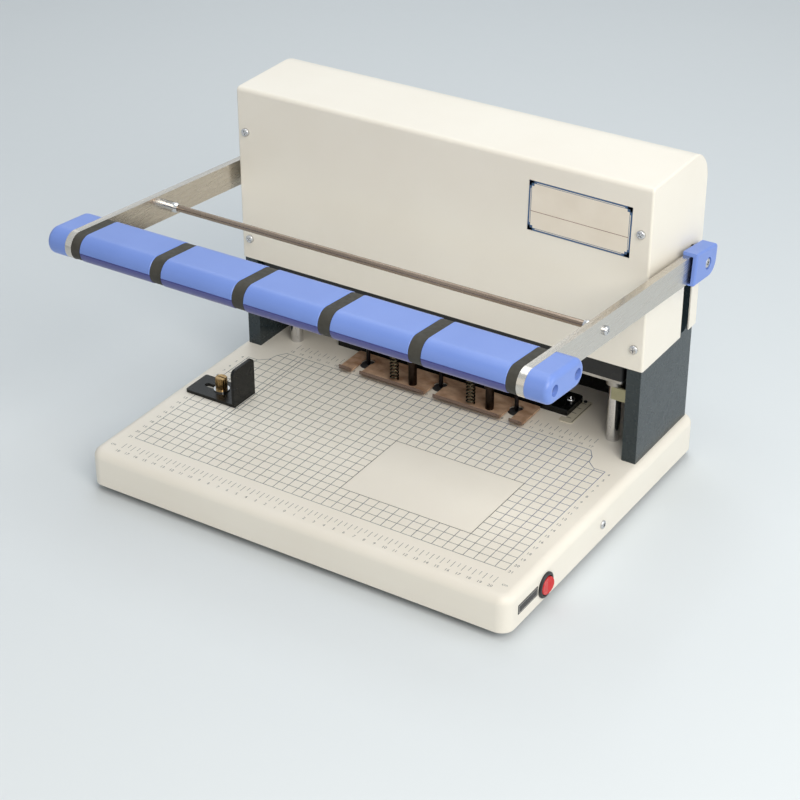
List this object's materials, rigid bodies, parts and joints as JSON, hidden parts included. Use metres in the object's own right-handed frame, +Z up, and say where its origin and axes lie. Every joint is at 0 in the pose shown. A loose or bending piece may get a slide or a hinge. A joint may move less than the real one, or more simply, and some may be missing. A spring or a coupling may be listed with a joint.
{
  "type": "electric paper drilling and binding machine",
  "caption": "Desk machine that drills binding holes: a wide hand lever with a padded grip lowers a geared drill head and spring presser onto a gridded table with stops.",
  "frame": {"origin": "on the ground under the middle of the machine, the centre of the overall box's bottom", "axes": "+X to the operator's right along the grip, +Y from the operator to the back, +Z up"},
  "size_m": [0.481, 0.342, 0.305],
  "materials": {
    "ivory_paint": "satin",
    "slate_paint": "satin",
    "black_paint": "satin",
    "blue_moulding": "semi gloss",
    "black_rubber": "matt",
    "polished_steel": "polished",
    "machined_steel": "machined",
    "hard_chrome": "mirror",
    "brass": "satin",
    "black_casting": "painted",
    "aluminium": "turned",
    "white_nylon": "matt",
    "black_plastic": "matt",
    "red_plastic": "glossy"
  },
  "bodies": {
    "base": {"base_shell": "ivory_paint", "base_bottom_plate": "machined_steel", "base_screws": "hard_chrome", "rubber_feet": "black_rubber", "frame_rails": "machined_steel", "drill_pads": "white_nylon", "side_frame_left": "slate_paint", "side_frame_right": "slate_paint", "back_panel": "black_paint", "top_crossbar": "black_paint", "column_brackets": "black_paint", "guide_columns": "hard_chrome", "stop_collars": "brass", "shaft_bearings": "brass", "cover": "ivory_paint", "cover_screws": "hard_chrome", "gauge_screws": "hard_chrome", "switch_bezel": "black_plastic", "power_inlet": "black_plastic"},
    "lever": {"lever_shaft": "machined_steel", "sector_gear_left": "machined_steel", "sector_gear_right": "machined_steel", "lever_arm_left": "polished_steel", "lever_arm_right": "polished_steel", "pivot_caps": "blue_moulding", "pivot_screws": "hard_chrome", "tie_rod": "polished_steel", "tie_rod_collars": "polished_steel", "tie_rod_screws": "hard_chrome", "grip_segments": "blue_moulding", "grip_bands": "black_rubber", "grip_end_caps": "blue_moulding", "handle_bolts": "hard_chrome"},
    "head": {"head_beam": "black_casting", "wear_plate": "machined_steel", "guide_bushes": "machined_steel", "spindle_bearings": "brass", "rack_left": "machined_steel", "rack_right": "machined_steel", "motor_bracket": "black_paint", "motor_housing": "aluminium", "drive_belt": "black_rubber"},
    "motor_rotor": {"motor_pulley": "aluminium"},
    "spindle_left": {"spindle_left": "hard_chrome", "spindle_pulley_left": "aluminium", "drill_bit_left": "hard_chrome"},
    "spindle_middle": {"spindle_middle": "hard_chrome", "spindle_pulley_middle": "aluminium", "drill_bit_middle": "hard_chrome"},
    "spindle_right": {"spindle_right": "hard_chrome", "spindle_pulley_right": "aluminium", "drill_bit_right": "hard_chrome"},
    "presser": {"presser_plate": "polished_steel", "presser_pins": "machined_steel", "presser_springs": "machined_steel"},
    "switch_rocker": {"switch_rocker": "red_plastic"},
    "side_stop": {"side_stop": "black_paint"},
    "stop_screw": {"stop_screw": "brass", "stop_washer": "hard_chrome"},
    "rear_gauge": {"rear_gauge": "black_paint"}
  },
  "joints": [
    {"name": "lever_swing", "type": "hinge", "parent": "base", "child": "lever", "pos_m": [0, 0.141, 0.2095], "axis": [-1, 0, 0], "range_deg": [0, 47]},
    {"name": "head_slide", "type": "slide", "parent": "base", "child": "head", "axis": [0, 0, 1], "range_m": [0, 0.0411]},
    {"name": "presser_slide", "type": "slide", "parent": "head", "child": "presser", "axis": [0, 0, 1], "range_m": [0, 0.04], "stiffness_N_per_m": 800, "springref_m": -0.01, "deforming": ["presser_springs"]},
    {"name": "motor_turn", "type": "hinge", "parent": "head", "child": "motor_rotor", "pos_m": [0.12, 0.1, 0.152], "axis": [0, 0, 1], "continuous": true},
    {"name": "spindle_left_turn", "type": "hinge", "parent": "head", "child": "spindle_left", "pos_m": [-0.085, 0.087, 0.1], "axis": [0, 0, 1], "continuous": true},
    {"name": "spindle_middle_turn", "type": "hinge", "parent": "head", "child": "spindle_middle", "pos_m": [-0.005, 0.087, 0.1], "axis": [0, 0, 1], "continuous": true},
    {"name": "spindle_right_turn", "type": "hinge", "parent": "head", "child": "spindle_right", "pos_m": [0.075, 0.087, 0.1], "axis": [0, 0, 1], "continuous": true},
    {"name": "switch_tilt", "type": "hinge", "parent": "base", "child": "switch_rocker", "pos_m": [0.2147, -0.109, 0.0215], "axis": [0, 0, 1], "range_deg": [0, 14]},
    {"name": "side_stop_slide", "type": "slide", "parent": "base", "child": "side_stop", "axis": [1, 0, 0], "range_m": [-0.0035, 0.0155]},
    {"name": "stop_screw_turn", "type": "hinge", "parent": "base", "child": "stop_screw", "pos_m": [-0.172, -0.028, 0.05], "axis": [0, 0, 1], "continuous": true},
    {"name": "rear_gauge_slide", "type": "slide", "parent": "base", "child": "rear_gauge", "axis": [0, 1, 0], "range_m": [-0.0025, 0.0085]}
  ],
  "couplings": [
    {"joint": "head_slide", "follows": "lever_swing", "m_per_rad": 0.05},
    {"joint": "spindle_left_turn", "follows": "spindle_middle_turn", "ratio": 1},
    {"joint": "spindle_right_turn", "follows": "spindle_middle_turn", "ratio": 1},
    {"joint": "motor_turn", "follows": "spindle_middle_turn", "ratio": 1.8}
  ]
}
